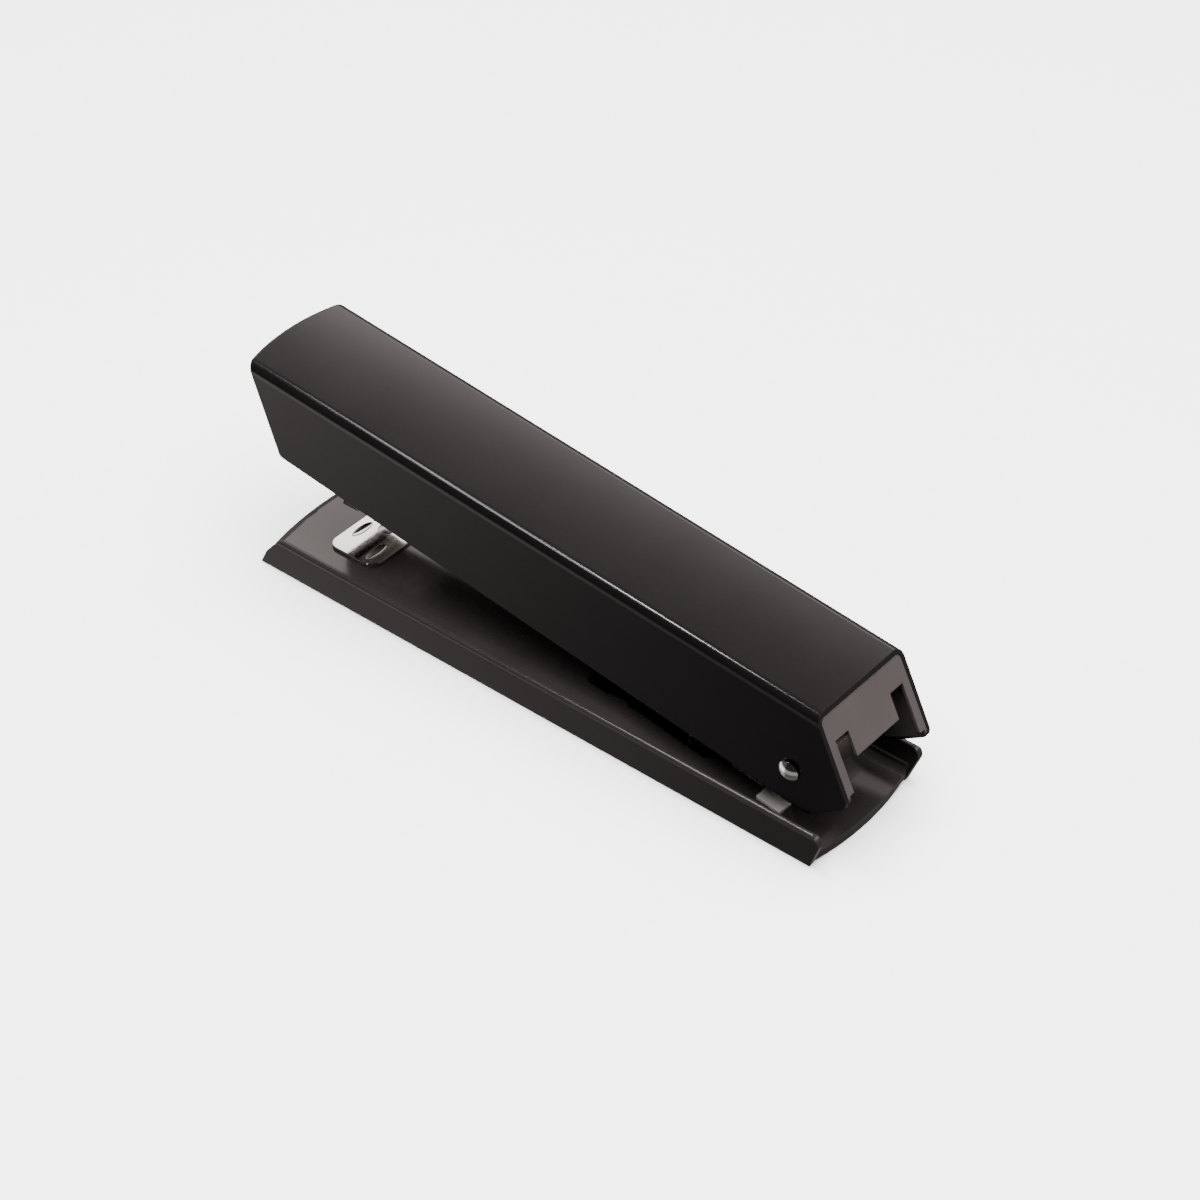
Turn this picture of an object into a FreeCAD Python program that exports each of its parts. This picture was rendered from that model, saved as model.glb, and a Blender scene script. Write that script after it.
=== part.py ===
import FreeCAD, Part
import math
import os

from FreeCAD import Matrix, Vector

# Desk stapler, full strip, all sheet metal. Millimetres, +Z up.
# X runs along the length: the anvil and the nose are at -X, the hinge is at +X.
# The origin is the middle of the flat underside. The stapler is modelled as it
# stands at rest, with its arm lifted by its springs.

# ---------------------------------------------------------------- base tray
BASE_LENGTH = 190.0
BASE_FRONT = -BASE_LENGTH / 2
BASE_REAR = BASE_LENGTH / 2
BASE_HALF = 21.4          # half width at the foot of the side walls
WALL_FLARE = 1.2          # how far each wall leans outwards at its top
WALL_TOP = 11.8
WALL_FOOT = 0.3
WALL_THICK = 1.9          # the wall's edge is folded over, so it is thicker than the sheet
SHEET = 1.6
FLOOR_HALF = 21.15        # half width of the floor, whose edges run into the walls
DECK_TOP = 11.65          # the raised front of the floor, where the paper lies
FLOOR_TOP = 3.4           # the low rear of the floor, under the hinge
RAMP_START = 30.0
RAMP_END = 84.0
DECK_FRONT = -91.6        # foremost point of the rounded front edge
FRONT_BULGE = 2.2
REAR_BULGE = 2.0
LIP_DROP = 5.6            # how far the front edge turns down
LIP_ROUND = 4.0

# --------------------------------------------------------------------- pad
PAD_THICK = 1.3
PAD_HALF = 18.7
PAD_RIB = 1.5

# ------------------------------------------------------------------- hinge
HINGE_X = 85.2
HINGE_Z = 24.9
PIN_R = 2.0
PIN_SEAT = 18.3           # inner face of each head
RUNNING_GAP = 0.05
HEAD_R = 3.05
HEAD_COLLAR = 0.5
HEAD_RISE = 1.3
EAR_INNER = 9.0
EAR_THICK = 1.2
PLATE_THICK = 1.0
SEAT = 0.06               # clearance under plates that lie on the floor
LEAF_THICK = 0.6
LEAF_HALF = 13.3
RIVET_R = 1.4
RIVET_HEAD_R = 2.2
RIVET_HEAD_RISE = 0.7
BRACKET_RIVETS = [(66.0, 0.0), (76.5, 0.0)]
SPRING_RIVETS = [(50.0, 10.2), (50.0, -10.2)]

# ------------------------------------------------------------------- anvil
ANVIL_X = -66.8
ANVIL_LENGTH = 17.0
ANVIL_WIDTH = 30.0
ANVIL_TOP = 12.6
ANVIL_GAP = 0.15
ANVIL_CORNER = 3.5
ANVIL_NECK_R = 2.35
ANVIL_SHOULDER_R = 3.4
BUTTON_R = 6.0
BUTTON_TOP = 4.6
GROOVE_OFFSET = 5.1       # distance of each groove pair from the post
GROOVE_DEPTH = 0.5

# ---------------------------------------------------------------- magazine
# Drawn level with the hinge axis at (0, 0), then lifted by MAGAZINE_TILT.
MAGAZINE_TILT = 3.1
MAG_FLOOR = -10.7
MAG_WALL_TOP = -3.1
MAG_HALF = 7.7
MAG_SHEET = 1.0
NOSE_FRONT = -161.2
NOSE_THICK = 2.0
NOSE_TOP = 2.0
NOSE_FOOT = -11.6
NOSE_CHEEK_END = -149.0
STRIP_FRONT = -157.0
STRIP_LENGTH = 105.0
STAPLE_HALF = 6.2
STAPLE_WIRE = 0.5
RAIL_HALF = 5.6
RAIL_TOP = -4.3
RAIL_SHEET = 0.8
RAIL_REAR = -12.0
RAIL_RIVETS = (-140.0, -85.0, -25.0)
PUSHER_LENGTH = 12.0
PUSHER_GAP = 0.2
ROD_Z = -1.4
ROD_R = 0.8
STOP_FRONT = -10.0
STOP_REAR = -7.0

# ------------------------------------------------------------------- cover
# Drawn with its top level and the hinge axis at (0, 0), then lifted by COVER_TILT.
COVER_TILT = 5.9
COVER_TOP = 21.6
COVER_FOOT = -14.0        # below everything that is kept of the sides
COVER_HALF = 17.7         # half width of the top, at the rear
COVER_WIDENING = 1.1      # how much farther out each side is at the front
COVER_FLARE = 0.45        # how much farther out each side is at COVER_FOOT than at the top
COVER_SHEET = 1.2
COVER_BEND = 2.9
COVER_FRONT = -188.4      # foremost point of the top
COVER_BULGE = 2.3
COVER_RAKE = 26.5         # the front face leans back by this angle, from top to bottom
COVER_FRONT_FOOT = (-173.96, -3.5)
COVER_FRONT_ROUND = 5.0
COVER_REAR_FOOT = (6.7, -10.7)
COVER_TAIL = (18.1, -1.0)
COVER_REAR_TOP = 4.4

# ------------------------------------------------------------------- liner
LINER_GAP = 0.1
LINER_SHEET = 1.0
LINER_INSET = 0.25        # how far its rear end lies inside the cover's
LINER_FRONT = -176.0
LINER_LIFT = 2.2          # how far its lower edge lies above the cover's
LOBE_HALF = 8.75
LOBE_FOOT = 7.5
NOTCH_TOP = 13.8
LEG_INNER = 14.0
LEG_FOOT = 1.3

# ------------------------------------------------------------------ driver
DRIVER_X = -158.2
DRIVER_THICK = 0.8
DRIVER_HALF = 5.9
DRIVER_TIP = -6.5
DRIVER_RIVETS = (-4.0, 4.0)
HOLDER_TOP = COVER_TOP - COVER_SHEET - LINER_GAP - LINER_SHEET - 0.05
HOLDER_SHEET = 1.2
HOLDER_DROP = 11.0


def save(node, shape):
    shape.exportStep("parts/" + node + ".step")


def box(x0, x1, y0, y1, z0, z1):
    return Part.makeBox(x1 - x0, y1 - y0, z1 - z0, Vector(x0, y0, z0))


def rod_along(axis, radius, start, length, centre):
    """A cylinder along X, Y or Z. The centre gives its other two coordinates."""
    a, b = centre
    if axis == "x":
        return Part.makeCylinder(radius, length, Vector(start, a, b), Vector(1, 0, 0))
    if axis == "y":
        return Part.makeCylinder(radius, length, Vector(a, start, b), Vector(0, 1, 0))
    return Part.makeCylinder(radius, length, Vector(a, b, start), Vector(0, 0, 1))


def outline(points, place):
    """A closed outline. Each point is (a, b) or (a, b, corner radius)."""
    flat = [Vector(p[0], p[1], 0) for p in points]
    radii = [p[2] if len(p) > 2 else 0.0 for p in points]
    ends = []
    edges = []
    for i, corner in enumerate(flat):
        before = (flat[i - 1] - corner).normalize()
        after = (flat[(i + 1) % len(flat)] - corner).normalize()
        if radii[i] == 0.0:
            ends.append((corner, corner))
            continue
        half = before.getAngle(after) / 2
        reach = radii[i] / math.tan(half)
        middle = corner + (before + after).normalize() * (radii[i] / math.sin(half) - radii[i])
        first = corner + before * reach
        last = corner + after * reach
        ends.append((first, last))
        edges.append(Part.Arc(place(first), place(middle), place(last)).toShape())
    for i in range(len(flat)):
        start = ends[i - 1][1]
        stop = ends[i][0]
        if start.distanceToPoint(stop) > 1e-6:
            edges.append(Part.LineSegment(place(start), place(stop)).toShape())
    return Part.Face(Part.Wire(Part.__sortEdges__(edges)))


def side_prism(points, y0, y1):
    """An outline drawn in X and Z, as thick as the space between y0 and y1."""
    face = outline(points, lambda p: Vector(p.x, y0, p.y))
    return face.extrude(Vector(0, y1 - y0, 0))


def plan_prism(points, z0, z1):
    """An outline drawn in X and Y, between two heights."""
    face = outline(points, lambda p: Vector(p.x, p.y, z0))
    return face.extrude(Vector(0, 0, z1 - z0))


def end_prism(points, x0, x1):
    """An outline drawn in Y and Z, between two stations along the length."""
    face = outline(points, lambda p: Vector(x0, p.x, p.y))
    return face.extrude(Vector(x1 - x0, 0, 0))


def both_sides(shape):
    return shape.fuse(shape.mirror(Vector(0, 0, 0), Vector(0, 1, 0)))


def group(shapes):
    return Part.makeCompound(shapes)


def lift(shape, degrees):
    """Turn a piece of the arm about the hinge and put it in its place on the base."""
    raised = shape.copy()
    raised.rotate(Vector(0, 0, 0), Vector(0, 1, 0), degrees)
    raised.translate(Vector(HINGE_X, 0, HINGE_Z))
    return raised


def coil(mean_r, wire_r, turns, length):
    """A compression spring along +Z that starts at the origin."""
    pitch = (length - 2 * wire_r) / turns
    path = Part.makeHelix(pitch, pitch * turns, mean_r)
    section = Part.Wire(Part.makeCircle(wire_r, Vector(mean_r, 0, 0), Vector(0, 1, 0)))
    spring = Part.Wire(path).makePipeShell([section], True, True)
    spring.translate(Vector(0, 0, wire_r))
    return spring


def dome(radius, rise):
    """A domed rivet head on +Z: the cap of a sphere, with its flat face at the origin."""
    ball_r = (radius ** 2 + rise ** 2) / (2 * rise)
    ball = Part.makeSphere(ball_r, Vector(0, 0, rise - ball_r))
    return ball.common(box(-radius, radius, -radius, radius, 0, rise))


# ------------------------------------------------------------------ base
def deck_height(x):
    """Height of the floor's upper face at a station along the base."""
    if x <= RAMP_START:
        return DECK_TOP
    if x >= RAMP_END:
        return FLOOR_TOP
    return DECK_TOP + (FLOOR_TOP - DECK_TOP) * (x - RAMP_START) / (RAMP_END - RAMP_START)


def ramp_angle():
    return math.degrees(math.atan2(DECK_TOP - FLOOR_TOP, RAMP_END - RAMP_START))


def arc_end(half, x_side, x_middle):
    """The edge across a floor whose end bulges from x_side to x_middle."""
    return Part.Arc(Vector(x_side, -half, 0), Vector(x_middle, 0, 0), Vector(x_side, half, 0))


def floor_plan(half, front_side, front_middle, rear_side, rear_middle):
    """The floor's outline in plan, with both ends bulging."""
    front = arc_end(half, front_side, front_middle).toShape()
    rear = arc_end(half, rear_side, rear_middle).toShape()
    near = Part.LineSegment(Vector(front_side, -half, 0), Vector(rear_side, -half, 0)).toShape()
    far = Part.LineSegment(Vector(front_side, half, 0), Vector(rear_side, half, 0)).toShape()
    return Part.Face(Part.Wire([front, far, rear, near]))


def base_wall():
    """The near side wall, with both its ends rounded."""
    top_y = -(BASE_HALF + WALL_FLARE)
    section = end_prism([(-BASE_HALF, WALL_FOOT),
                         (top_y, WALL_TOP, 1.2),
                         (top_y + WALL_THICK, WALL_TOP, 0.4),
                         (-BASE_HALF + WALL_THICK, WALL_FOOT)],
                        BASE_FRONT - 5, BASE_REAR + 8)
    profile = side_prism([(BASE_FRONT, WALL_FOOT),
                          (BASE_FRONT + 2.9, 5.6, 8.0),
                          (BASE_FRONT + 8.2, WALL_TOP, 2.5),
                          (BASE_REAR + 4.1, WALL_TOP, 2.8),
                          (BASE_REAR, WALL_FOOT)],
                         top_y - 2, 0)
    return section.common(profile)


def floor_sheet():
    """The floor: a raised deck at the front, a ramp, and a low rear under the hinge."""
    low = DECK_TOP - SHEET
    profile = side_prism([(DECK_FRONT - 2, low),
                          (DECK_FRONT - 2, DECK_TOP),
                          (RAMP_START, DECK_TOP, 30.0),
                          (RAMP_END, FLOOR_TOP, 30.0),
                          (BASE_REAR + 4, FLOOR_TOP),
                          (BASE_REAR + 4, FLOOR_TOP - SHEET),
                          (RAMP_END, FLOOR_TOP - SHEET, 30.0),
                          (RAMP_START, low, 30.0)],
                         -FLOOR_HALF, FLOOR_HALF)
    start = DECK_FRONT + FRONT_BULGE + LIP_ROUND + 1.2
    plan = floor_plan(FLOOR_HALF, start, start - FRONT_BULGE, BASE_REAR, BASE_REAR + REAR_BULGE)
    return profile.common(plan.extrude(Vector(0, 0, DECK_TOP + 1)))


def lip_block(inset):
    """The body of the rounded front edge, made smaller all round by inset."""
    rear = DECK_FRONT + 12
    top = DECK_TOP - inset
    plan = floor_plan(FLOOR_HALF - inset, DECK_FRONT + FRONT_BULGE + inset, DECK_FRONT + inset, rear, rear + 1)
    plan.translate(Vector(0, 0, DECK_TOP - LIP_DROP - inset))
    block = plan.extrude(Vector(0, 0, LIP_DROP))
    crest = [e for e in block.Edges if is_lip_crest(e, top)]
    return block.makeFillet(LIP_ROUND - inset, crest)


def is_lip_crest(edge, top):
    """The upper front edge: a bulging edge across the block, at its top."""
    bounds = edge.BoundBox
    return bounds.ZMin > top - 0.01 and bounds.XMax < DECK_FRONT + 6 and bounds.YLength > 20


def front_lip():
    """The floor's front edge, turned down over the pad in one round."""
    rear_part = box(DECK_FRONT + 9, DECK_FRONT + 14, -30, 30, 0, DECK_TOP + 1)
    return lip_block(0.0).cut(lip_block(SHEET)).cut(rear_part)


def corner_round():
    """The inner round where the low rear floor meets the near wall."""
    radius = 2.6
    y = -(BASE_HALF - WALL_THICK)
    start = RAMP_END - 3
    block = box(start, BASE_REAR + 0.4, y - 0.6, y + radius, FLOOR_TOP - 0.5, FLOOR_TOP + radius)
    hollow = rod_along("x", radius, start - 1, 20, (y + radius, FLOOR_TOP + radius))
    return block.cut(hollow)


def base_channel():
    tray = floor_sheet().fuse(front_lip())
    tray = tray.fuse(both_sides(base_wall())).fuse(both_sides(corner_round()))
    post_hole = rod_along("z", ANVIL_SHOULDER_R + 0.15, 5, 10, (ANVIL_X, 0))
    return tray.cut(post_hole).cut(ramp_holes(BRACKET_RIVETS)).cut(ramp_holes(SPRING_RIVETS)).removeSplitter()


def base_pad():
    """The moulded pad under the base, ribbed up to the deck in front."""
    plan = floor_plan(PAD_HALF, DECK_FRONT + FRONT_BULGE + 0.4, DECK_FRONT + 0.4, BASE_REAR - 0.4,
                      BASE_REAR + REAR_BULGE - 0.3)
    plate = plan.extrude(Vector(0, 0, PAD_THICK))
    rib_top = DECK_TOP - SHEET - 0.1
    rib_end = RAMP_START - 4
    rib_start = DECK_FRONT + FRONT_BULGE + LIP_ROUND + 1.0
    ribs = both_sides(box(rib_start, rib_end, -PAD_HALF, -PAD_HALF + PAD_RIB, PAD_THICK, rib_top))
    for x in (rib_start, -50.0, -20.0, rib_end - PAD_RIB):
        ribs = ribs.fuse(box(x, x + PAD_RIB, -PAD_HALF, PAD_HALF, PAD_THICK, rib_top))
    finger_hole = rod_along("z", BUTTON_R + 2, -1, 5, (ANVIL_X, 0))
    return plate.fuse(ribs).cut(finger_hole).removeSplitter()


# ------------------------------------------------------------------ hinge
def on_ramp(shape, x, y):
    """Stand a piece that was made at the origin on the ramp, square to it."""
    placed = shape.copy()
    placed.rotate(Vector(0, 0, 0), Vector(0, 1, 0), ramp_angle())
    placed.translate(Vector(x, y, deck_height(x)))
    return placed


def ramp_holes(places):
    drill = rod_along("z", RIVET_R + 0.02, -4, 8, (0, 0))
    return group([on_ramp(drill, x, y) for x, y in places])


def ramp_rivet(grip):
    """A rivet through the floor and a plate of the given thickness above it."""
    shank = rod_along("z", RIVET_R, -SHEET - 0.02, SHEET + grip + 0.04, (0, 0))
    head = dome(RIVET_HEAD_R, RIVET_HEAD_RISE)
    head.translate(Vector(0, 0, grip + 0.02))
    return shank.fuse(head)


def ramp_strip(x0, x1, y0, y1, z0, z1):
    """A strip lying along the straight ramp, between two heights above it."""
    return side_prism([(x0, deck_height(x0) + z0),
                       (x0, deck_height(x0) + z1),
                       (x1, deck_height(x1) + z1),
                       (x1, deck_height(x1) + z0)], y0, y1)


def hinge_bracket():
    """A folded steel bracket: a plate on the ramp, two foot tabs and two ears."""
    width = EAR_INNER + EAR_THICK
    plate_rear = 79.5
    plate = ramp_strip(61.5, plate_rear, -width, width, SEAT, PLATE_THICK)
    tabs = ramp_strip(72.7, 80.2, -14.5, 14.5, SEAT, PLATE_THICK)
    ear = side_prism([(62.5, deck_height(62.5) + SEAT + 0.02),
                      (62.5, deck_height(62.5) + 3.5, 1.5),
                      (HINGE_X - 5.2, HINGE_Z + 5.0, 4.6),
                      (HINGE_X + 2.6, HINGE_Z + 5.0, 4.6),
                      (HINGE_X + 2.6, HINGE_Z - 6.0, 4.0),
                      (plate_rear, deck_height(plate_rear) + SEAT + 0.02)],
                     -width, -EAR_INNER)
    bore = rod_along("y", PIN_R + 0.01, -20, 40, (HINGE_X, HINGE_Z))
    bracket = plate.fuse(tabs).fuse(both_sides(ear))
    return bracket.cut(bore).cut(ramp_holes(BRACKET_RIVETS)).removeSplitter()


def bracket_rivets():
    return group([on_ramp(ramp_rivet(PLATE_THICK), x, y) for x, y in BRACKET_RIVETS])


def hinge_pin():
    """The pin through the cover, the bracket and the magazine, with a domed head at each end."""
    shaft = rod_along("y", PIN_R, -PIN_SEAT - 0.2, 2 * (PIN_SEAT + 0.2), (HINGE_X, HINGE_Z))
    cap = dome(HEAD_R, HEAD_RISE)
    cap.translate(Vector(0, 0, HEAD_COLLAR))
    head = cap.fuse(rod_along("z", HEAD_R, 0, HEAD_COLLAR, (0, 0)))
    head.rotate(Vector(0, 0, 0), Vector(1, 0, 0), 90)
    head.translate(Vector(HINGE_X, -PIN_SEAT, HINGE_Z))
    return shaft.fuse(both_sides(head))


def hinge_spacers():
    """Tubes on the pin that keep the cover centred between the bracket's ears."""
    start = EAR_INNER + EAR_THICK + 0.1
    length = 5.0
    tube = rod_along("y", 3.4, start, length, (HINGE_X, HINGE_Z))
    tube = tube.cut(rod_along("y", PIN_R + 0.03, start - 1, length + 2, (HINGE_X, HINGE_Z)))
    return group([tube, tube.mirror(Vector(0, 0, 0), Vector(0, 1, 0))])


def lift_spring():
    """The leaf on the base floor whose tongue holds the magazine up."""
    half = LEAF_HALF
    front = 15.0
    rear = 56.0
    flat = side_prism([(front, DECK_TOP + SEAT),
                       (front, DECK_TOP + LEAF_THICK),
                       (RAMP_START, DECK_TOP + LEAF_THICK, 30.0),
                       (rear, deck_height(rear) + LEAF_THICK),
                       (rear, deck_height(rear) + SEAT),
                       (RAMP_START, DECK_TOP + SEAT, 30.0)], -half, half)
    plan = plan_prism([(front, -half + 0.7, 1.5), (23.0, -half), (23.6, -half + 0.9), (29.0, -half + 0.9),
                       (29.6, -half), (rear, -half, 2.0), (rear, half, 2.0), (29.6, half),
                       (29.0, half - 0.9), (23.6, half - 0.9), (23.0, half), (front, half - 0.7, 1.5)], 0, 20)
    window = box(19.0, 48.0, -5.4, 5.4, 0, 20)
    tip_z = HINGE_Z + MAG_FLOOR + 2.95
    tongue = side_prism([(49.0, deck_height(49.0) + SEAT + 0.02),
                         (49.0, deck_height(49.0) + LEAF_THICK),
                         (28.0, tip_z - 0.2, 3.0),
                         (22.0, tip_z - 1.2),
                         (22.0, tip_z - 1.7),
                         (28.0, tip_z - 0.8, 3.0)], -4.6, 4.6)
    leaf = flat.common(plan).cut(window).fuse(tongue)
    return leaf.cut(ramp_holes(SPRING_RIVETS)).removeSplitter()


def spring_rivets():
    return group([on_ramp(ramp_rivet(LEAF_THICK), x, y) for x, y in SPRING_RIVETS])


# ------------------------------------------------------------------ anvil
def staple_groove(x, y, half_length):
    """One leaf-shaped forming groove, sunk in the anvil's face."""
    scale = Matrix()
    scale.scale(1.35, half_length, GROOVE_DEPTH)
    groove = Part.makeSphere(1.0).transformGeometry(scale)
    groove.translate(Vector(x, y, ANVIL_TOP))
    return groove


def anvil_plate():
    half_l = ANVIL_LENGTH / 2
    half_w = ANVIL_WIDTH / 2
    r = ANVIL_CORNER
    plate = plan_prism([(ANVIL_X - half_l, -half_w, r), (ANVIL_X + half_l, -half_w, r),
                        (ANVIL_X + half_l, half_w, r), (ANVIL_X - half_l, half_w, r)],
                       DECK_TOP + ANVIL_GAP, ANVIL_TOP)
    rim = [e for e in plate.Edges if e.BoundBox.ZMin > ANVIL_TOP - 0.01]
    plate = plate.makeFillet(0.3, rim)
    for side in (-1, 1):
        plate = plate.cut(staple_groove(ANVIL_X - GROOVE_OFFSET, side * 4.3, 3.9))
        plate = plate.cut(staple_groove(ANVIL_X + GROOVE_OFFSET - 0.6, side * 9.2, 3.9))
    return plate.cut(rod_along("z", ANVIL_NECK_R + 0.08, 5, 12, (ANVIL_X, 0)))


def anvil_post():
    """The sprung post that carries the anvil, with the push button under the base."""
    button = rod_along("z", BUTTON_R, BUTTON_TOP - 2.0, 2.0, (ANVIL_X, 0))
    shoulder = rod_along("z", ANVIL_SHOULDER_R, BUTTON_TOP, DECK_TOP - BUTTON_TOP, (ANVIL_X, 0))
    neck = rod_along("z", ANVIL_NECK_R, DECK_TOP - 0.1, ANVIL_TOP - DECK_TOP - 0.05, (ANVIL_X, 0))
    head = dome(ANVIL_NECK_R, 0.2)
    head.translate(Vector(ANVIL_X, 0, ANVIL_TOP - 0.15))
    return button.fuse(shoulder).fuse(neck).fuse(head)


def anvil_spring():
    spring = coil(ANVIL_SHOULDER_R + 0.9, 0.3, 3.5, DECK_TOP - SHEET - BUTTON_TOP - 0.2)
    spring.translate(Vector(ANVIL_X, 0, BUTTON_TOP + 0.1))
    return spring


# --------------------------------------------------------------- magazine
def magazine_channel():
    """The open trough that holds the rail and the staples, with two ears at the hinge."""
    front = NOSE_FRONT + NOSE_THICK + 0.02
    rear = 2.2
    wall = side_prism([(front, MAG_FLOOR),
                       (front, MAG_WALL_TOP),
                       (-14.0, MAG_WALL_TOP, 6.0),
                       (-5.0, 5.0, 4.0),
                       (4.2, 5.0, 4.2),
                       (4.2, -4.5, 3.0),
                       (rear, MAG_FLOOR, 1.0)],
                      -MAG_HALF, -MAG_HALF + MAG_SHEET)
    floor = box(STRIP_FRONT, rear, -MAG_HALF, MAG_HALF, MAG_FLOOR, MAG_FLOOR + MAG_SHEET)
    end = box(rear - MAG_SHEET, rear, -MAG_HALF, MAG_HALF, MAG_FLOOR, -PIN_R - 0.3)
    bore = rod_along("y", PIN_R + RUNNING_GAP, -20, 40, (0, 0))
    trough = floor.fuse(end).fuse(both_sides(wall)).cut(bore)
    for x in RAIL_RIVETS:
        trough = trough.cut(rod_along("z", RIVET_R + 0.02, MAG_FLOOR - 1, 3, (x, 0)))
    return trough.removeSplitter()


def staple_rail():
    """The inverted channel that the staples straddle, with feet riveted to the trough."""
    start = STRIP_FRONT + 0.2
    low = MAG_FLOOR + MAG_SHEET + 0.02
    outer = box(start, RAIL_REAR, -RAIL_HALF, RAIL_HALF, low, RAIL_TOP)
    inner = box(start - 1, RAIL_REAR + 1, -RAIL_HALF + RAIL_SHEET, RAIL_HALF - RAIL_SHEET,
                low - 1, RAIL_TOP - RAIL_SHEET)
    rail = outer.cut(inner)
    for x in RAIL_RIVETS:
        foot = box(x - 3.5, x + 3.5, -RAIL_HALF, RAIL_HALF, low, low + RAIL_SHEET)
        rail = rail.fuse(foot).cut(rod_along("z", RIVET_R + 0.02, low - 1, 3, (x, 0)))
    return rail.removeSplitter()


def rail_rivets():
    grip = MAG_SHEET + RAIL_SHEET + 0.02
    rivets = []
    for x in RAIL_RIVETS:
        head = dome(RIVET_HEAD_R, RIVET_HEAD_RISE)
        head.translate(Vector(x, 0, MAG_FLOOR + grip + 0.02))
        shank = rod_along("z", RIVET_R, MAG_FLOOR, grip + 0.02, (x, 0))
        rivets.append(shank.fuse(head))
    return group(rivets)


def magazine_nose():
    """The nose: a front wall, two cheeks that guide the driver blade, and a shoe under the trough."""
    inner = NOSE_FRONT + NOSE_THICK
    wall = plan_prism([(NOSE_FRONT, -MAG_HALF, 1.2),
                       (inner, -MAG_HALF),
                       (inner, MAG_HALF),
                       (NOSE_FRONT, MAG_HALF, 1.2)], NOSE_FOOT, NOSE_TOP)
    cheek = side_prism([(inner - 0.2, MAG_WALL_TOP + 0.03),
                        (inner - 0.2, NOSE_TOP),
                        (NOSE_CHEEK_END, NOSE_TOP, 1.5),
                        (NOSE_CHEEK_END, MAG_WALL_TOP + 0.03)],
                       -MAG_HALF, -MAG_HALF + MAG_SHEET)
    shoe = side_prism([(inner - 0.5, NOSE_FOOT),
                       (inner - 0.5, MAG_FLOOR - 0.03),
                       (inner + 5.2, MAG_FLOOR - 0.03),
                       (inner + 4.0, NOSE_FOOT + 0.3)], -MAG_HALF, MAG_HALF)
    slot = box(inner, STRIP_FRONT, -STAPLE_HALF - 0.3, STAPLE_HALF + 0.3, NOSE_FOOT - 1, MAG_FLOOR + 1)
    return wall.fuse(both_sides(cheek)).fuse(shoe.cut(slot)).removeSplitter()


def staple_strip():
    """A full strip of glued staples: one long inverted channel that straddles the rail."""
    rear = STRIP_FRONT + STRIP_LENGTH
    crown = RAIL_TOP + 0.1 + STAPLE_WIRE
    foot = MAG_FLOOR + MAG_SHEET + 0.1
    strip = box(STRIP_FRONT, rear, -STAPLE_HALF, STAPLE_HALF, foot, crown)
    hollow = box(STRIP_FRONT - 1, rear + 1, -STAPLE_HALF + STAPLE_WIRE, STAPLE_HALF - STAPLE_WIRE,
                 foot - 1, crown - STAPLE_WIRE)
    return strip.cut(hollow)


def guide_rod():
    start = NOSE_CHEEK_END - 3.0
    return rod_along("x", ROD_R, start, STOP_REAR - start + 1.0, (0, ROD_Z))


def rod_bridge():
    """The small bridge between the nose's cheeks that holds the rod's front end."""
    half = MAG_HALF - MAG_SHEET - 0.05
    bridge = box(NOSE_CHEEK_END - 2.5, NOSE_CHEEK_END - 0.5, -half, half, MAG_WALL_TOP, NOSE_TOP - 0.6)
    return bridge.cut(rod_along("x", ROD_R + 0.03, NOSE_CHEEK_END - 5, 8, (0, ROD_Z)))


def rear_stop():
    """The crosspiece at the back of the trough, against which the pusher spring bears."""
    half = MAG_HALF - MAG_SHEET - 0.05
    block = side_prism([(STOP_FRONT, MAG_FLOOR + MAG_SHEET + 0.05),
                        (STOP_FRONT, 1.6, 0.8),
                        (STOP_REAR, 1.6, 0.8),
                        (STOP_REAR, MAG_FLOOR + MAG_SHEET + 0.05)], -half, half)
    return block.cut(rod_along("x", ROD_R + 0.03, STOP_FRONT - 1, 6, (0, ROD_Z)))


# ----------------------------------------------------------------- pusher
def pusher_front():
    return STRIP_FRONT + STRIP_LENGTH + PUSHER_GAP


def pusher_rear():
    return pusher_front() + PUSHER_LENGTH


def pusher():
    """The follower: a saddle over the rail and a lug that slides on the rod."""
    start = pusher_front()
    rear = pusher_rear()
    saddle = box(start, rear, -STAPLE_HALF, STAPLE_HALF, MAG_FLOOR + MAG_SHEET + 0.4, RAIL_TOP + 0.9)
    saddle = saddle.cut(box(start - 1, rear + 1, -RAIL_HALF - 0.15, RAIL_HALF + 0.15,
                            MAG_FLOOR, RAIL_TOP + 0.2))
    lug = side_prism([(rear - 4.0, RAIL_TOP + 0.5), (rear - 4.0, 1.4, 1.0),
                      (rear, 1.4, 1.0), (rear, RAIL_TOP + 0.5)], -4.2, 4.2)
    bore = rod_along("x", ROD_R + 0.08, start - 1, PUSHER_LENGTH + 2, (0, ROD_Z))
    return saddle.fuse(lug).cut(bore).removeSplitter()


def pusher_spring():
    spring = coil(1.75, 0.3, 13, STOP_FRONT - pusher_rear() - 0.3)
    spring.rotate(Vector(0, 0, 0), Vector(0, 1, 0), 90)
    spring.translate(Vector(pusher_rear() + 0.15, 0, ROD_Z))
    return spring


# ------------------------------------------------------------------ cover
def cover_bar(shrink):
    """The cover's body before its ends are cut, made smaller all round by shrink.
    Its sides draw together a little towards the rear."""
    top = COVER_TOP - shrink
    half = COVER_HALF - shrink
    near = end_prism([(-half - COVER_FLARE, COVER_FOOT),
                      (-half, top, max(COVER_BEND - shrink, 0.6)),
                      (3.0, top),
                      (3.0, COVER_FOOT)], COVER_FRONT - 6, 26.0)
    widening = math.degrees(math.atan2(COVER_WIDENING, COVER_REAR_TOP - COVER_FRONT))
    near.rotate(Vector(COVER_REAR_TOP, 0, 0), Vector(0, 0, 1), widening)
    near = near.common(box(COVER_FRONT - 5, 25.0, -30.0, 0.0, COVER_FOOT, COVER_TOP))
    return both_sides(near).removeSplitter()


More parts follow.
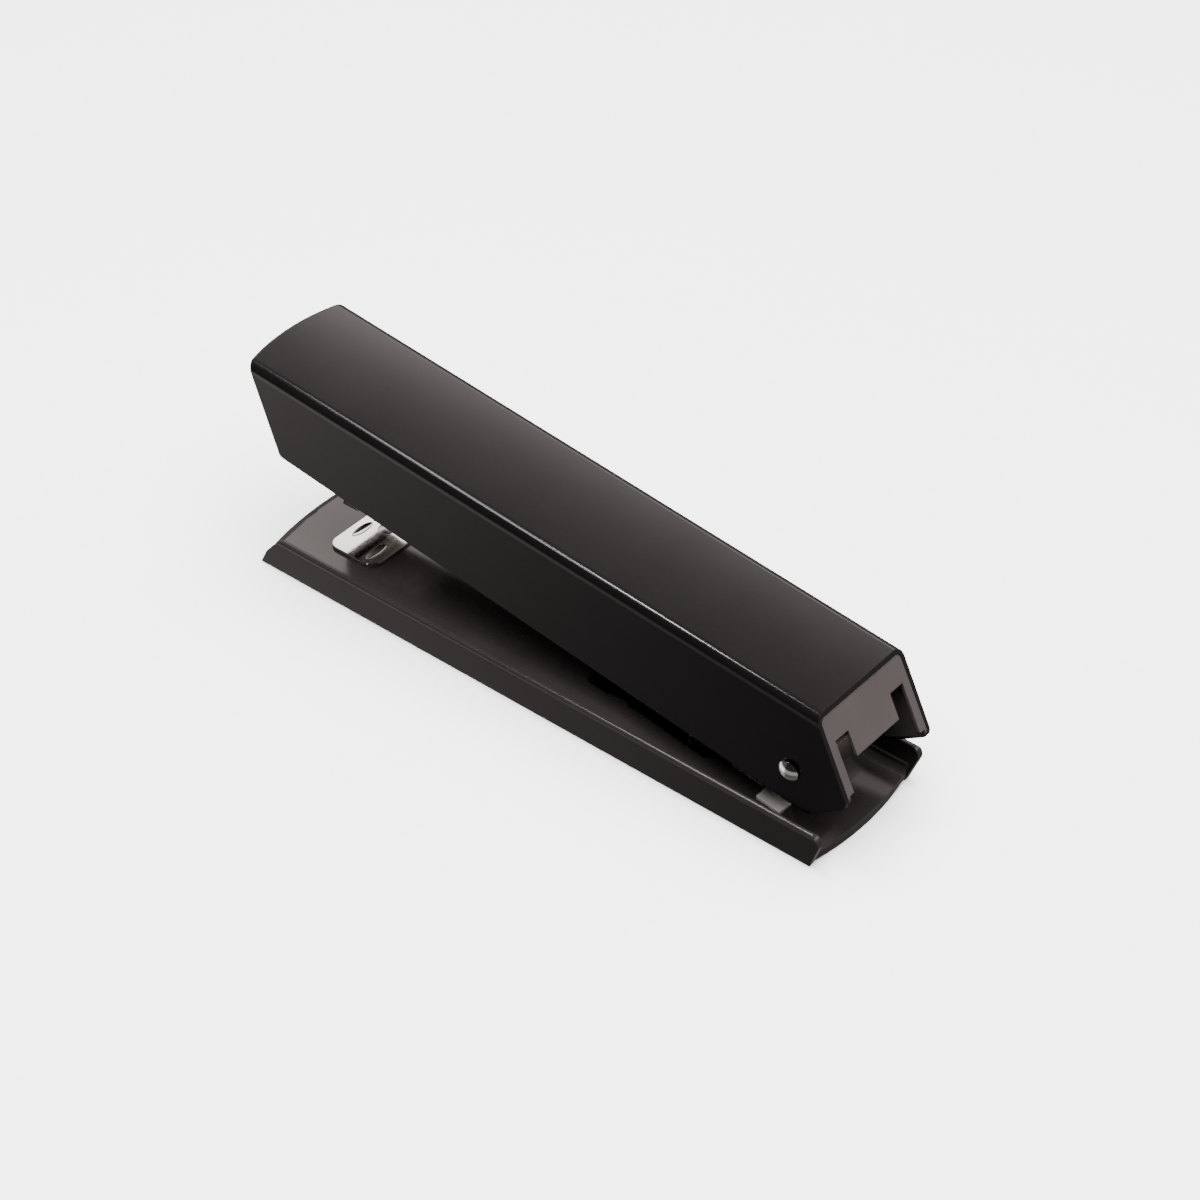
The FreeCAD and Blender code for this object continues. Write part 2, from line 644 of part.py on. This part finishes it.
def cover_front_cut(setback):
    """Everything behind the raked and bulging front face, set back by a sheet thickness."""
    rise = COVER_TOP + 16.0
    run = rise * math.tan(math.radians(COVER_RAKE))
    front = COVER_FRONT + setback
    plan = floor_plan(22.0, front + COVER_BULGE * 1.7, front, 30.0, 31.0)
    plan.translate(Vector(0, 0, COVER_TOP))
    return plan.extrude(Vector(run, 0, -rise))


def cover_profile(points):
    return side_prism(points, -22.0, 22.0)


def cover_outline():
    """The cover's side view, whose front is cut later."""
    foot_x, foot_z = COVER_FRONT_FOOT
    return [(COVER_FRONT - 2, COVER_TOP + 1),
            (COVER_FRONT - 2, foot_z - 0.4),
            (foot_x, foot_z),
            (COVER_REAR_FOOT[0], COVER_REAR_FOOT[1], 1.2),
            (COVER_TAIL[0], COVER_TAIL[1], 2.8),
            (COVER_REAR_TOP, COVER_TOP),
            (COVER_REAR_TOP, COVER_TOP + 1)]


def front_foot_waste():
    """What is cut off to round the lower front corner of the cover's sides."""
    radius = COVER_FRONT_ROUND
    foot = Vector(COVER_FRONT_FOOT[0], COVER_FRONT_FOOT[1], 0)
    rear = Vector(COVER_REAR_FOOT[0], COVER_REAR_FOOT[1], 0)
    rake = math.radians(COVER_RAKE)
    along = (rear - foot).normalize()
    up = Vector(-math.sin(rake), math.cos(rake), 0)
    half = along.getAngle(up) / 2
    reach = radius / math.tan(half)
    low = foot + along * reach
    high = foot + up * reach
    centre = foot + (along + up).normalize() * (radius / math.sin(half))
    corner = side_prism([(low.x, low.y), (low.x - 1, low.y - 3), (high.x - 9, low.y - 3),
                         (high.x - 9, high.y + 4.5), (high.x, high.y)], -22.0, 22.0)
    return corner.cut(rod_along("y", radius, -23, 46, (centre.x, centre.y)))


def cover_shell():
    outer = cover_bar(0.0).common(cover_profile(cover_outline()))
    outer = outer.common(cover_front_cut(0.0))
    crest = [e for e in outer.Edges if is_front_crest(e)]
    outer = outer.makeFillet(0.6, crest)
    hollow = cover_bar(COVER_SHEET).common(cover_front_cut(COVER_SHEET))
    shell = outer.cut(hollow)
    bore = rod_along("y", PIN_R + RUNNING_GAP, -22, 44, (0, 0))
    return shell.cut(front_foot_waste()).cut(bore)


def is_front_crest(edge):
    """The upper front edge of the cover, between its two side bends."""
    bounds = edge.BoundBox
    level = bounds.ZMin > COVER_TOP - 0.01
    return level and bounds.XMax < COVER_FRONT + 6 and bounds.YLength > 20


def liner_skin():
    """The liner's channel and its closed rear end, before the notches."""
    fit = COVER_SHEET + LINER_GAP
    wall = LINER_SHEET * 1.15
    foot_x, foot_z = COVER_REAR_FOOT
    tail_x = COVER_TAIL[0] - LINER_INSET
    tail_z = COVER_TAIL[1] + 0.6
    top_x = COVER_REAR_TOP - LINER_INSET
    body = cover_profile([(LINER_FRONT, COVER_TOP),
                          (LINER_FRONT + 9.0, 0.0, 3.0),
                          (foot_x, foot_z + LINER_LIFT, 1.5),
                          (tail_x, tail_z, 2.0),
                          (top_x, COVER_TOP)])
    inside = cover_profile([(LINER_FRONT - 10, COVER_TOP + 2),
                            (LINER_FRONT - 10, -30.0),
                            (tail_x - wall + 1.2, -30.0),
                            (tail_x - wall, tail_z),
                            (top_x - wall, COVER_TOP)])
    skin = cover_bar(fit).common(body)
    return skin.cut(cover_bar(fit + LINER_SHEET).common(inside))


def cover_liner():
    """The inner steel frame: a channel under the cover with a closed, notched rear end."""
    skin = liner_skin()
    for side in (-1, 1):
        y0, y1 = sorted((side * LOBE_HALF, side * LEG_INNER))
        skin = skin.cut(box(0, 30, y0, y1, -30, NOTCH_TOP))
    skin = skin.cut(box(0, 30, -LOBE_HALF - 0.01, LOBE_HALF + 0.01, -30, LOBE_FOOT))
    between_legs = COVER_HALF - COVER_SHEET - LINER_GAP - LINER_SHEET + 0.3
    skin = skin.cut(box(8, 30, -between_legs, between_legs, -30, LEG_FOOT))
    return skin.cut(rod_along("y", PIN_R + RUNNING_GAP, -22, 44, (0, 0))).removeSplitter()


# ----------------------------------------------------------------- driver
def driver_blade():
    """The blade that drives the front staple out of the nose."""
    top = HOLDER_TOP - HOLDER_SHEET - 1.0
    x0 = DRIVER_X - DRIVER_THICK / 2
    half = DRIVER_HALF
    face = outline([(-half, DRIVER_TIP), (half, DRIVER_TIP), (half, 8.0), (half + 2.5, 11.0),
                    (half + 2.5, top), (-half - 2.5, top), (-half - 2.5, 11.0), (-half, 8.0)],
                   lambda p: Vector(x0, p.x, p.y))
    blade = face.extrude(Vector(DRIVER_THICK, 0, 0))
    for y in DRIVER_RIVETS:
        blade = blade.cut(rod_along("x", RIVET_R + 0.02, x0 - 1, 3, (y, top - 4.0)))
    return blade


def driver_holder():
    """An angle under the liner's top that carries the blade."""
    x0 = DRIVER_X + DRIVER_THICK / 2 + 0.03
    top = HOLDER_TOP
    angle = side_prism([(x0, top, 1.5), (x0, top - HOLDER_DROP), (x0 + HOLDER_SHEET, top - HOLDER_DROP),
                        (x0 + HOLDER_SHEET, top - HOLDER_SHEET, 0.5),
                        (x0 + 16.0, top - HOLDER_SHEET), (x0 + 16.0, top)], -9.0, 9.0)
    for y in DRIVER_RIVETS:
        angle = angle.cut(rod_along("x", RIVET_R + 0.02, x0 - 1, 4, (y, top - HOLDER_SHEET - 5.0)))
    return angle


def driver_rivets():
    z = HOLDER_TOP - HOLDER_SHEET - 5.0
    start = DRIVER_X - DRIVER_THICK / 2
    grip = DRIVER_THICK + 0.03 + HOLDER_SHEET
    rivets = []
    for y in DRIVER_RIVETS:
        head = dome(RIVET_HEAD_R, RIVET_HEAD_RISE)
        head.rotate(Vector(0, 0, 0), Vector(0, 1, 0), -90)
        head.translate(Vector(start - 0.02, y, z))
        rivets.append(head.fuse(rod_along("x", RIVET_R, start - 0.02, grip, (y, z))))
    return group(rivets)


def cover_spring():
    """The leaf under the liner's top that bears on the magazine and lifts the cover."""
    top = HOLDER_TOP
    thick = 0.7
    leaf = side_prism([(-76.0, top), (-76.0, top - thick), (-60.0, top - thick, 8.0),
                       (-34.0, 4.6, 5.0), (-28.0, 6.4), (-27.7, 7.0),
                       (-34.0, 5.4, 5.0), (-60.0, top, 8.0)], -4.5, 4.5)
    return leaf.cut(rod_along("z", RIVET_R + 0.02, top - 3, 6, (-70.0, 0)))


def cover_spring_rivet():
    head = dome(RIVET_HEAD_R, RIVET_HEAD_RISE)
    head.rotate(Vector(0, 0, 0), Vector(1, 0, 0), 180)
    head.translate(Vector(-70.0, 0, HOLDER_TOP - 0.72))
    return head.fuse(rod_along("z", RIVET_R, HOLDER_TOP - 0.72, 0.7, (-70.0, 0)))


BASE_NODES = {
    "base_channel": base_channel,
    "base_pad": base_pad,
    "hinge_bracket": hinge_bracket,
    "bracket_rivets": bracket_rivets,
    "hinge_pin": hinge_pin,
    "hinge_spacers": hinge_spacers,
    "lift_spring": lift_spring,
    "spring_rivets": spring_rivets,
    "anvil_plate": anvil_plate,
    "anvil_post": anvil_post,
    "anvil_spring": anvil_spring,
}
MAGAZINE_NODES = {
    "magazine_channel": magazine_channel,
    "staple_rail": staple_rail,
    "rail_rivets": rail_rivets,
    "magazine_nose": magazine_nose,
    "staple_strip": staple_strip,
    "guide_rod": guide_rod,
    "rod_bridge": rod_bridge,
    "rear_stop": rear_stop,
    "pusher": pusher,
    "pusher_spring": pusher_spring,
}
COVER_NODES = {
    "cover_shell": cover_shell,
    "cover_liner": cover_liner,
    "driver_blade": driver_blade,
    "driver_holder": driver_holder,
    "driver_rivets": driver_rivets,
    "cover_spring": cover_spring,
    "cover_spring_rivet": cover_spring_rivet,
}

os.makedirs("parts", exist_ok=True)
for name, make in BASE_NODES.items():
    save(name, make())
for name, make in MAGAZINE_NODES.items():
    save(name, lift(make(), MAGAZINE_TILT))
for name, make in COVER_NODES.items():
    save(name, lift(make(), COVER_TILT))
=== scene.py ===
import math

import bmesh
import bpy
from mathutils import Matrix, Vector


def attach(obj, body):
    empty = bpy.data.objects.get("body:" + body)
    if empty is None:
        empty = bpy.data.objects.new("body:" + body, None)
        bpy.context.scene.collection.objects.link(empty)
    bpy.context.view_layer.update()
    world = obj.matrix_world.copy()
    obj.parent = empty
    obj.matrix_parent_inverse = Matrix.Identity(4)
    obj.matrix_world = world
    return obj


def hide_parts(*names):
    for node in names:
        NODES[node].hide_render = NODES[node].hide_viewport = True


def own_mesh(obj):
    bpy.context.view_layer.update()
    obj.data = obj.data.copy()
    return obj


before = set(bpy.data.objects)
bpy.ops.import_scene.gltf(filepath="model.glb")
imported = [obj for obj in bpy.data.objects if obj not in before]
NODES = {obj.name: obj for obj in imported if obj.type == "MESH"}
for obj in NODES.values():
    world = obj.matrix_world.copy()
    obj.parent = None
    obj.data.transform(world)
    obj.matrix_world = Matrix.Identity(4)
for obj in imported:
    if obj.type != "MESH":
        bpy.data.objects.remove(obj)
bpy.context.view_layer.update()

MM = 0.001

# The arm's hinge axis, and how far the magazine is lifted about it at rest.
HINGE = Vector((85.2 * MM, 0.0, 24.9 * MM))
MAGAZINE_TILT = math.radians(3.1)


# ---------------------------------------------------------------- node helpers
class Surface:
    """One procedural material: a Principled shader and the textures that feed it."""

    def __init__(self, name):
        self.material = bpy.data.materials.new(name)
        self.material.use_nodes = True
        self.tree = self.material.node_tree
        self.shader = self.tree.nodes["Principled BSDF"]
        self.place = self.add("ShaderNodeTexCoord").outputs["Object"]

    def add(self, kind):
        return self.tree.nodes.new(kind)

    def join(self, source, target):
        self.tree.links.new(source, target)

    def constant(self, **values):
        for name, value in values.items():
            self.shader.inputs[name.replace("_", " ")].default_value = value

    def noise(self, scale, detail=3.0, stretch=(1.0, 1.0, 1.0)):
        mapping = self.add("ShaderNodeMapping")
        mapping.inputs["Scale"].default_value = stretch
        self.join(self.place, mapping.inputs["Vector"])
        texture = self.add("ShaderNodeTexNoise")
        texture.inputs["Scale"].default_value = scale
        texture.inputs["Detail"].default_value = detail
        self.join(mapping.outputs["Vector"], texture.inputs["Vector"])
        return texture.outputs["Fac"]

    def spread(self, source, low, high, start=0.3, stop=0.7):
        node = self.add("ShaderNodeMapRange")
        node.inputs["From Min"].default_value = start
        node.inputs["From Max"].default_value = stop
        node.inputs["To Min"].default_value = low
        node.inputs["To Max"].default_value = high
        self.join(source, node.inputs["Value"])
        return node.outputs["Result"]

    def sum(self, a, b, kind="ADD"):
        node = self.add("ShaderNodeMath")
        node.operation = kind
        self.join(a, node.inputs[0])
        self.join(b, node.inputs[1])
        return node.outputs[0]

    def blend(self, factor, low, high):
        """A colour between two, or between a texture's colour and one."""
        node = self.add("ShaderNodeMix")
        node.data_type = "RGBA"
        self.join(factor, node.inputs["Factor"])
        if isinstance(low, tuple):
            node.inputs["A"].default_value = (*low, 1.0)
        else:
            self.join(low, node.inputs["A"])
        node.inputs["B"].default_value = (*high, 1.0)
        return node.outputs["Result"]

    def rounded(self, radius):
        """The normal of the surface with its sharp edges softened."""
        node = self.add("ShaderNodeBevel")
        node.samples = 6
        node.inputs["Radius"].default_value = radius
        return node.outputs["Normal"]

    def edges(self, soft_normal):
        """1 along sharp edges, 0 on flat faces."""
        flat = self.add("ShaderNodeNewGeometry").outputs["Normal"]
        dot = self.add("ShaderNodeVectorMath")
        dot.operation = "DOT_PRODUCT"
        self.join(flat, dot.inputs[0])
        self.join(soft_normal, dot.inputs[1])
        return self.spread(dot.outputs["Value"], 1.0, 0.0, 0.80, 0.995)

    def bump(self, height, strength, distance, normal=None):
        node = self.add("ShaderNodeBump")
        node.inputs["Strength"].default_value = strength
        node.inputs["Distance"].default_value = distance
        self.join(height, node.inputs["Height"])
        if normal is not None:
            self.join(normal, node.inputs["Normal"])
        return node.outputs["Normal"]

    def finish(self, colour, roughness, normal):
        self.join(colour, self.shader.inputs["Base Color"])
        self.join(roughness, self.shader.inputs["Roughness"])
        self.join(normal, self.shader.inputs["Normal"])
        return self.material


# ------------------------------------------------------------------- materials
def crown(surface, half_width, rise):
    """The height of a sheet that is crowned a little across its width."""
    split = surface.add("ShaderNodeSeparateXYZ")
    surface.join(surface.place, split.inputs[0])
    square = surface.sum(split.outputs["Y"], split.outputs["Y"], "MULTIPLY")
    return surface.spread(square, rise, 0.0, 0.0, half_width ** 2)


COVER_HALF = 17.7 * MM
COVER_CROWN = 0.34 * MM
PAINT_EDGE = 0.25 * MM


def enamel(name, colour, worn, roughness, crowned=False):
    """Baked enamel on sheet steel: faint orange peel, fine dust, edges a little worn."""
    s = Surface(name)
    soft_normal = s.rounded(PAINT_EDGE)
    wear = s.sum(s.edges(soft_normal), s.spread(s.noise(260.0, 5.0), 0.25, 1.0), "MULTIPLY")
    cloud = s.spread(s.noise(45.0, 4.0), 0.0, 1.0)
    lighter = tuple(c * 1.25 for c in colour)
    paint = s.blend(cloud, colour, lighter)
    speck = s.spread(s.noise(2400.0, 2.0), 0.0, 0.15, 0.68, 0.78)
    dusty = s.blend(speck, paint, tuple(c * 2.5 + 0.003 for c in colour))
    tinted = s.blend(wear, dusty, worn)
    rough = s.spread(s.noise(60.0, 5.0), roughness[0], roughness[1])
    grain = s.spread(s.noise(700.0, 2.0), 0.0, 1.0)
    normal = s.bump(grain, 0.05, 0.02 * MM, soft_normal)
    if crowned:
        normal = s.bump(crown(s, COVER_HALF, COVER_CROWN), 1.0, 1.0, normal)
    return s.finish(tinted, rough, normal)


METAL_EDGE = 0.12 * MM


def metal(name, colour, roughness, stretch, stain=0.25, scratch=0.25, metallic=1.0):
    """Bare or plated metal: rolling lines along its length, faint stains, bright worn edges."""
    s = Surface(name)
    s.constant(Metallic=metallic)
    soft_normal = s.rounded(METAL_EDGE)
    lines = s.noise(2200.0, 3.0, stretch)
    stains = s.spread(s.noise(70.0, 5.0), 0.0, 1.0)
    dark = tuple(c * (1.0 - stain) for c in colour)
    base = s.blend(stains, dark, colour)
    bright = tuple(min(1.0, c * 1.25) for c in colour)
    tinted = s.blend(s.edges(soft_normal), base, bright)
    rough = s.spread(s.sum(lines, s.noise(90.0, 4.0)), roughness[0], roughness[1], 0.75, 1.25)
    normal = s.bump(lines, scratch, 0.01 * MM, soft_normal)
    return s.finish(tinted, rough, normal)


def rubber(name):
    """Moulded pad: matt and finely grained, with dust in the grain."""
    s = Surface(name)
    soft_normal = s.rounded(0.3 * MM)
    grain = s.noise(1500.0, 4.0)
    dust = s.spread(s.noise(120.0, 5.0), 0.0, 1.0)
    colour = s.blend(dust, (0.020, 0.018, 0.016), (0.040, 0.036, 0.031))
    rough = s.spread(grain, 0.55, 0.75)
    return s.finish(colour, rough, s.bump(grain, 0.5, 0.05 * MM, soft_normal))


# How the rolling lines are drawn out: along X, along Z, or not at all.
ALONG = (0.05, 1.0, 1.0)
UPRIGHT = (1.0, 1.0, 0.08)
ROUND = (1.0, 1.0, 1.0)
MATERIALS = {
    "cover_enamel": enamel("cover_enamel", (0.0023, 0.0020, 0.0020), (0.014, 0.012, 0.010), (0.15, 0.17),
                           crowned=True),
    "base_enamel": enamel("base_enamel", (0.0120, 0.0102, 0.0100), (0.024, 0.020, 0.017), (0.15, 0.17)),
    "liner_enamel": enamel("liner_enamel", (0.040, 0.035, 0.034), (0.060, 0.052, 0.047), (0.30, 0.40)),
    "pad_rubber": rubber("pad_rubber"),
    "bracket_steel": metal("bracket_steel", (0.40, 0.38, 0.365), (0.42, 0.52), UPRIGHT, scratch=0.1,
                           metallic=0.25),
    "rivet_steel": metal("rivet_steel", (0.42, 0.41, 0.40), (0.20, 0.32), ROUND),
    "pin_chrome": metal("pin_chrome", (0.74, 0.73, 0.71), (0.05, 0.11), ROUND, stain=0.08, scratch=0.05),
    "black_spring_steel": metal("black_spring_steel", (0.045, 0.042, 0.042), (0.26, 0.36), ALONG),
    "anvil_chrome": metal("anvil_chrome", (0.72, 0.735, 0.72), (0.07, 0.13), ALONG, stain=0.10, scratch=0.06),
    "post_steel": metal("post_steel", (0.50, 0.49, 0.47), (0.18, 0.28), ROUND),
    "spring_wire": metal("spring_wire", (0.40, 0.39, 0.38), (0.20, 0.32), ROUND),
    "magazine_steel": metal("magazine_steel", (0.30, 0.28, 0.265), (0.24, 0.34), ALONG, scratch=0.1),
    "nose_steel": metal("nose_steel", (0.50, 0.47, 0.43), (0.12, 0.22), UPRIGHT),
    "rail_steel": metal("rail_steel", (0.52, 0.52, 0.51), (0.16, 0.26), ALONG),
    "staple_zinc": metal("staple_zinc", (0.62, 0.63, 0.65), (0.18, 0.28), (1.0, 0.3, 0.3), stain=0.12),
    "rod_steel": metal("rod_steel", (0.60, 0.59, 0.58), (0.10, 0.18), ALONG),
    "pusher_steel": metal("pusher_steel", (0.07, 0.065, 0.06), (0.26, 0.38), ALONG),
    "blade_steel": metal("blade_steel", (0.46, 0.46, 0.47), (0.16, 0.26), UPRIGHT),
    "leaf_steel": metal("leaf_steel", (0.20, 0.20, 0.21), (0.22, 0.34), ALONG),
}
# The material of each CAD node.
WEARS = {
    "cover_shell": "cover_enamel", "base_channel": "base_enamel", "cover_liner": "liner_enamel",
    "base_pad": "pad_rubber", "hinge_bracket": "bracket_steel", "bracket_rivets": "rivet_steel",
    "hinge_pin": "pin_chrome", "hinge_spacers": "rivet_steel", "lift_spring": "black_spring_steel",
    "spring_rivets": "rivet_steel", "anvil_plate": "anvil_chrome", "anvil_post": "post_steel",
    "anvil_spring": "spring_wire", "magazine_channel": "magazine_steel", "staple_rail": "rail_steel",
    "rail_rivets": "rivet_steel", "magazine_nose": "nose_steel", "staple_strip": "staple_zinc",
    "guide_rod": "rod_steel", "rod_bridge": "magazine_steel", "rear_stop": "magazine_steel",
    "pusher": "pusher_steel", "pusher_spring": "spring_wire", "driver_blade": "blade_steel",
    "driver_holder": "magazine_steel", "driver_rivets": "rivet_steel", "cover_spring": "leaf_steel",
    "cover_spring_rivet": "rivet_steel",
}


def dress_nodes():
    for node, name in WEARS.items():
        for slot in NODES[node].material_slots:
            slot.material = MATERIALS[name]


# --------------------------------------------------------------------- staples
# Millimetres, in the magazine's own drawing: level, with the hinge axis at the origin.
STAPLE_PITCH = 0.62
STAPLE_WIDTH = 0.56
STAPLE_HALF = 6.2
STAPLE_WIRE = 0.5
STRIP_FRONT = -157.0
STRIP_LENGTH = 105.0
STAPLE_TOP = -3.7
STAPLE_FOOT = -9.6
STAPLE_ROUND = 0.35


def staple_outline():
    """The outer and inner outline of one staple, seen from the front."""
    half, wire, bend = STAPLE_HALF, STAPLE_WIRE, STAPLE_ROUND
    top, foot = STAPLE_TOP, STAPLE_FOOT
    outer = [(-half, foot), (-half, top - bend), (-half + bend, top),
             (half - bend, top), (half, top - bend), (half, foot)]
    inner = [(half - wire, foot), (half - wire, top - wire), (-half + wire, top - wire),
             (-half + wire, foot)]
    return outer, inner


def staple_ring(shape, x):
    """The points of one face of a staple, as its outer and its inner row."""
    return [[shape.verts.new((x * MM, y * MM, z * MM)) for y, z in row] for row in staple_outline()]


def add_staple(shape, x0, x1):
    front = staple_ring(shape, x0)
    rear = staple_ring(shape, x1)
    for ring, flip in ((front, False), (rear, True)):
        o, i = ring
        quads = [(o[0], o[1], i[2], i[3]), (o[1], o[2], i[2]), (o[2], o[3], i[1], i[2]),
                 (o[3], o[4], i[1]), (o[4], o[5], i[0], i[1])]
        for quad in quads:
            shape.faces.new(tuple(reversed(quad)) if flip else quad)
    loop_front = front[0] + front[1]
    loop_rear = rear[0] + rear[1]
    for k in range(len(loop_front)):
        n = (k + 1) % len(loop_front)
        shape.faces.new((loop_front[n], loop_front[k], loop_rear[k], loop_rear[n]))


def make_staples():
    """A full strip of separate staples, in place of the plain strip."""
    shape = bmesh.new()
    for i in range(int(STRIP_LENGTH / STAPLE_PITCH)):
        x0 = STRIP_FRONT + (i + 0.05) * STAPLE_PITCH
        add_staple(shape, x0, x0 + STAPLE_WIDTH)
    bmesh.ops.recalc_face_normals(shape, faces=shape.faces)
    shape.transform(Matrix.Translation(HINGE) @ Matrix.Rotation(MAGAZINE_TILT, 4, "Y"))
    mesh = bpy.data.meshes.new("staples")
    shape.to_mesh(mesh)
    shape.free()
    mesh.materials.append(MATERIALS["staple_zinc"])
    staples = bpy.data.objects.new("staples", mesh)
    bpy.context.scene.collection.objects.link(staples)
    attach(staples, "magazine")
    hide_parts("staple_strip")


def make_coil(node, name, body):
    """A coil in place of the CAD one: a copy of its mesh, carried by its body."""
    coil = bpy.data.objects.new(name, NODES[node].data.copy())
    coil.data.materials.clear()
    coil.data.materials.append(MATERIALS["spring_wire"])
    coil.matrix_world = NODES[node].matrix_world.copy()
    bpy.context.scene.collection.objects.link(coil)
    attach(coil, body)
    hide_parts(node)
    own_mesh(coil)


def make_coils():
    """The follower's coil is pressed against its rear end, the anvil's against the deck."""
    make_coil("pusher_spring", "pusher_coil", "magazine")
    make_coil("anvil_spring", "anvil_coil", "base")


# ---------------------------------------------------------------------- studio
def floor_material():
    s = Surface("floor_paper")
    s.constant(Specular_IOR_Level=0.2)
    tone = s.blend(s.noise(6.0, 3.0), (0.86, 0.86, 0.855), (0.89, 0.89, 0.885))
    rough = s.spread(s.noise(30.0, 3.0), 0.85, 0.95)
    return s.finish(tone, rough, s.bump(s.noise(900.0, 2.0), 0.05, 0.02 * MM))


FLOOR_HALF = 7.0


def make_floor():
    """A plain floor. The object's surfaces neither reflect it nor take light from it."""
    mesh = bpy.data.meshes.new("floor")
    half = FLOOR_HALF
    corners = [(-half, -half, 0), (half, -half, 0), (half, half, 0), (-half, half, 0)]
    mesh.from_pydata(corners, [], [(0, 1, 2, 3)])
    mesh.materials.append(floor_material())
    floor = bpy.data.objects.new("floor", mesh)
    floor.visible_glossy = False
    floor.visible_diffuse = False
    bpy.context.scene.collection.objects.link(floor)


# Name, place, target, size, power, and whether surfaces mirror it. The first two
# draw the highlight along the cover's near bend.
LIGHTS = [
    ("overhead", (-0.175, -0.10, 0.72), (0.04, 0.0, 0.04), (0.07, 0.06), 0.9, True),
    ("overhead_soft", (-0.30, -0.10, 0.73), (0.0, 0.0, 0.04), (0.32, 0.06), 0.8, True),
    ("fill", (0.1, -0.1, 1.6), (0.0, 0.0, 0.0), (1.8, 1.8), 190.0, False),
]


def area_light(name, place, target, size, power, glossy):
    data = bpy.data.lights.new(name, "AREA")
    data.shape = "RECTANGLE"
    data.size, data.size_y = size
    data.energy = power
    lamp = bpy.data.objects.new(name, data)
    lamp.location = place
    lamp.rotation_mode = "QUATERNION"
    lamp.rotation_quaternion = (Vector(target) - Vector(place)).to_track_quat("-Z", "Y")
    lamp.visible_glossy = glossy
    bpy.context.scene.collection.objects.link(lamp)


# The camera of the photograph.
CAMERA_AZIMUTH = math.radians(39.594)
CAMERA_ELEVATION = math.radians(39.911)
CAMERA_PLACE = (0.43363, -0.51293, 0.58451)
CAMERA_LENS = 99.69
CAMERA_SENSOR = 36.0


def make_camera():
    data = bpy.data.cameras.new("camera")
    data.sensor_width = CAMERA_SENSOR
    data.lens = CAMERA_LENS
    camera = bpy.data.objects.new("camera", data)
    level = math.cos(CAMERA_ELEVATION)
    back = Vector((math.sin(CAMERA_AZIMUTH) * level, -math.cos(CAMERA_AZIMUTH) * level,
                   math.sin(CAMERA_ELEVATION)))
    camera.location = CAMERA_PLACE
    camera.rotation_mode = "QUATERNION"
    camera.rotation_quaternion = (-back).to_track_quat("-Z", "Y")
    data.clip_start, data.clip_end = 0.01, 20.0
    bpy.context.scene.collection.objects.link(camera)
    bpy.context.scene.camera = camera


# Brightness of the room by height, as (sine of the elevation, radiance).
FAR_ROOM = [(-1.0, 0.25), (0.0, 0.30), (0.38, 0.30), (0.54, 3.0),
            (0.62, 3.8), (0.67, 1.00), (0.74, 0.42), (1.0, 0.25)]
NEAR_ROOM = [(-1.0, 0.75), (-0.74, 0.62), (-0.64, 0.35), (-0.50, 1.5),
             (-0.22, 2.2), (-0.05, 0.5), (0.04, 0.12), (1.0, 0.12)]
BRIGHTEST = 4.0
ROOM_TINT = (1.0, 0.90, 0.89)


def room_curve(tree, height, stops):
    ramp = tree.nodes.new("ShaderNodeValToRGB")
    elements = ramp.color_ramp.elements
    while len(elements) < len(stops):
        elements.new(0.5)
    for element, (_, radiance) in zip(elements, stops):
        level = radiance / BRIGHTEST
        element.color = (*[level * tint for tint in ROOM_TINT], 1.0)
    for element, (sine, _) in zip(elements, stops):
        element.position = (sine + 1.0) / 2.0
    tree.links.new(height, ramp.inputs["Fac"])
    return ramp.outputs["Color"]


def fade_forward(tree, along, colour):
    """The camera's side of the room is brightest towards the front of the object."""
    fade = tree.nodes.new("ShaderNodeMapRange")
    fade.inputs["From Min"].default_value = -0.42
    fade.inputs["From Max"].default_value = -0.60
    fade.inputs["To Min"].default_value = 0.22
    tree.links.new(along, fade.inputs["Value"])
    dimmed = tree.nodes.new("ShaderNodeVectorMath")
    dimmed.operation = "SCALE"
    tree.links.new(colour, dimmed.inputs[0])
    tree.links.new(fade.outputs["Result"], dimmed.inputs["Scale"])
    return dimmed.outputs["Vector"]


def make_world():
    """A studio with a bright wall behind the object and a dim room on the camera's side."""
    world = bpy.data.worlds.new("studio")
    world.use_nodes = True
    bpy.context.scene.world = world
    tree = world.node_tree
    sky = tree.nodes["Background"]
    split = tree.nodes.new("ShaderNodeSeparateXYZ")
    coordinates = tree.nodes.new("ShaderNodeTexCoord")
    tree.links.new(coordinates.outputs["Generated"], split.inputs[0])
    height = tree.nodes.new("ShaderNodeMapRange")
    height.inputs["From Min"].default_value = -1.0
    tree.links.new(split.outputs["Z"], height.inputs["Value"])
    side = tree.nodes.new("ShaderNodeMapRange")
    side.interpolation_type = "SMOOTHSTEP"
    side.inputs["From Min"].default_value = -0.05
    side.inputs["From Max"].default_value = 0.20
    tree.links.new(split.outputs["Y"], side.inputs["Value"])
    mix = tree.nodes.new("ShaderNodeMix")
    mix.data_type = "RGBA"
    tree.links.new(side.outputs["Result"], mix.inputs["Factor"])
    near = room_curve(tree, height.outputs["Result"], NEAR_ROOM)
    tree.links.new(fade_forward(tree, split.outputs["X"], near), mix.inputs["A"])
    tree.links.new(room_curve(tree, height.outputs["Result"], FAR_ROOM), mix.inputs["B"])
    tree.links.new(mix.outputs["Result"], sky.inputs["Color"])
    sky.inputs["Strength"].default_value = BRIGHTEST


dress_nodes()
make_staples()
make_coils()
make_floor()
make_world()
make_camera()
for lamp_facts in LIGHTS:
    area_light(*lamp_facts)
